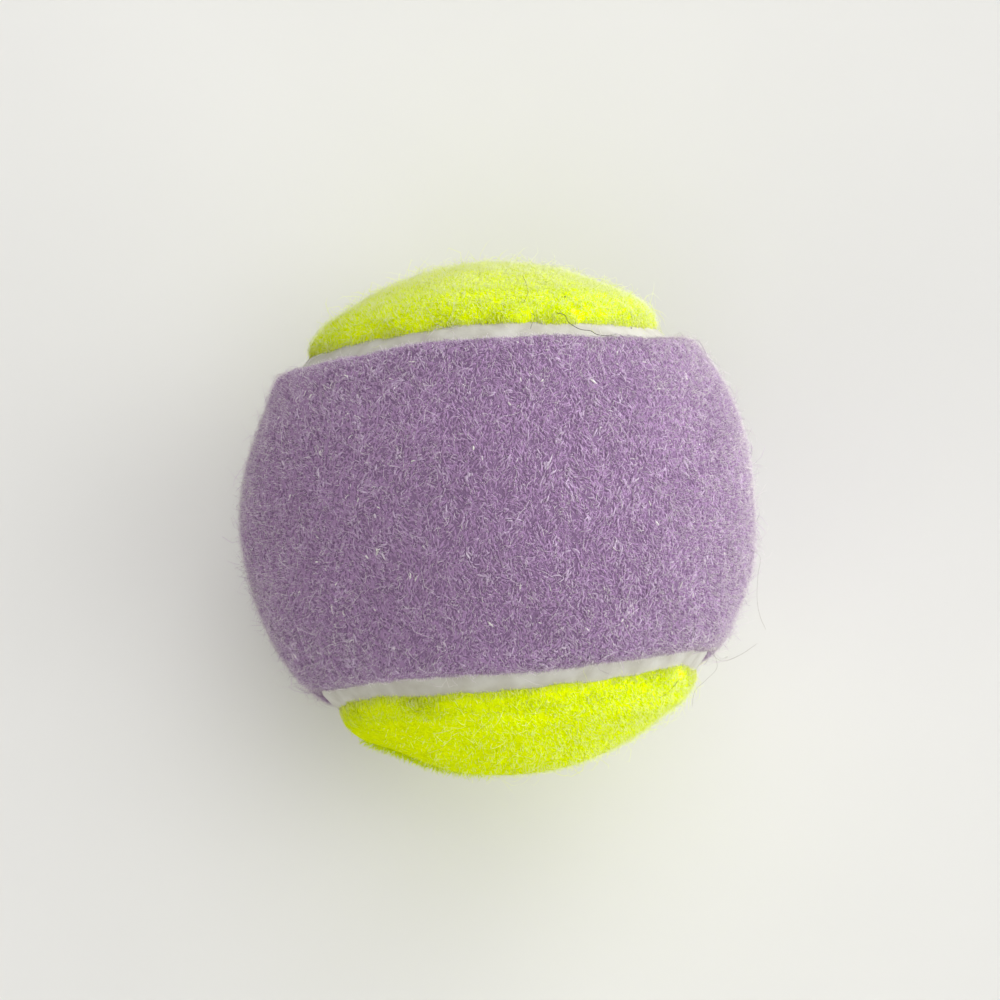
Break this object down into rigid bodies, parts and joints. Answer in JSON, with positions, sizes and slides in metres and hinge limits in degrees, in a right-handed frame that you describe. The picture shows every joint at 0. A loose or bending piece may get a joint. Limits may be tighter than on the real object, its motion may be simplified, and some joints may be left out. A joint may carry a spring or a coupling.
{
  "type": "tennis ball",
  "caption": "Hollow rubber ball covered in interlocking purple and yellow felt panels, with a recessed white seam ribbon between them.",
  "frame": {"origin": "centre of the ball", "axes": "+Z through the middle of the purple panel's neck, which lies across the top; +X and -X through the purple panel's two lobes; +Y and -Y through the yellow panel's two lobes; -Z through the middle of the yellow panel's neck"},
  "size_m": [0.0666, 0.0666, 0.0666],
  "materials": {
    "core_rubber": "moulded matt natural rubber, dark grey",
    "rubber_solution": "dried tan rubber solution",
    "purple_felt": "napped felt, dusty purple",
    "yellow_felt": "napped felt, fluorescent yellow",
    "seam_rubber": "matt off-white vulcanised seam rubber"
  },
  "bodies": {
    "root": {"core_half_upper": "core_rubber", "core_half_lower": "core_rubber", "core_rim_bond": "rubber_solution", "purple_panel_coat": "rubber_solution", "yellow_panel_coat": "rubber_solution", "purple_felt_panel": "purple_felt", "yellow_felt_panel": "yellow_felt", "seam_ribbon": "seam_rubber"}
  },
  "joints": []
}
